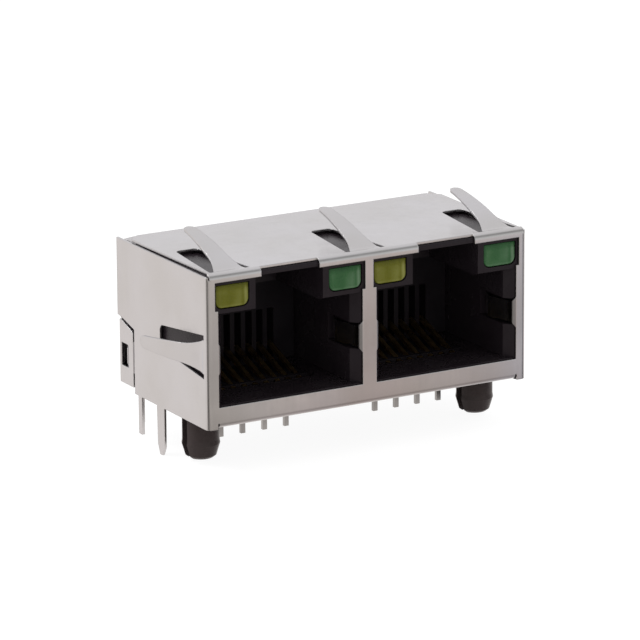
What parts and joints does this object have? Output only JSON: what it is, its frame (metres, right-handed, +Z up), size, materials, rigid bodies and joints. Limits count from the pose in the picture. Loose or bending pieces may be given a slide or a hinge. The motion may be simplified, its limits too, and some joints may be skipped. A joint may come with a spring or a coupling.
{
  "type": "two-port shielded modular jack",
  "caption": "Low shielded jack for a circuit board, its ports side by side with latches up, an indicator lamp at each upper corner, raised earthing fingers and split pegs",
  "frame": {"origin": "on the board's surface, midway between the two board pegs", "axes": "+X to the right as seen from the front, along the row of ports; +Y from the ports' mouths to the back; +Z up from the board"},
  "size_m": [0.034, 0.0154, 0.019],
  "materials": {
    "shield": "bright tin-plated sheet, faintly cloudy, cut edges darker",
    "housing": "black moulding, soft gloss with a fine grain",
    "insert": "black moulding, satin",
    "contact": "gold-plated wire, tinned below the board",
    "lamp_yellow": "clear tinted resin, unlit",
    "lamp_green": "clear tinted resin, unlit",
    "lead": "tinned wire"
  },
  "bodies": {
    "root": {"front_shield": "shield", "rear_shield": "shield", "housing": "housing", "contact_insert_left": "insert", "contact_insert_right": "insert", "contact_left_1": "contact", "contact_left_2": "contact", "contact_left_3": "contact", "contact_left_4": "contact", "contact_left_5": "contact", "contact_left_6": "contact", "contact_left_7": "contact", "contact_left_8": "contact", "contact_right_1": "contact", "contact_right_2": "contact", "contact_right_3": "contact", "contact_right_4": "contact", "contact_right_5": "contact", "contact_right_6": "contact", "contact_right_7": "contact", "contact_right_8": "contact", "led_yellow_left": "lamp_yellow", "led_green_left": "lamp_green", "led_yellow_right": "lamp_yellow", "led_green_right": "lamp_green", "led_yellow_left_anode": "lead", "led_yellow_left_cathode": "lead", "led_green_left_anode": "lead", "led_green_left_cathode": "lead", "led_yellow_right_anode": "lead", "led_yellow_right_cathode": "lead", "led_green_right_anode": "lead", "led_green_right_cathode": "lead"}
  },
  "joints": []
}
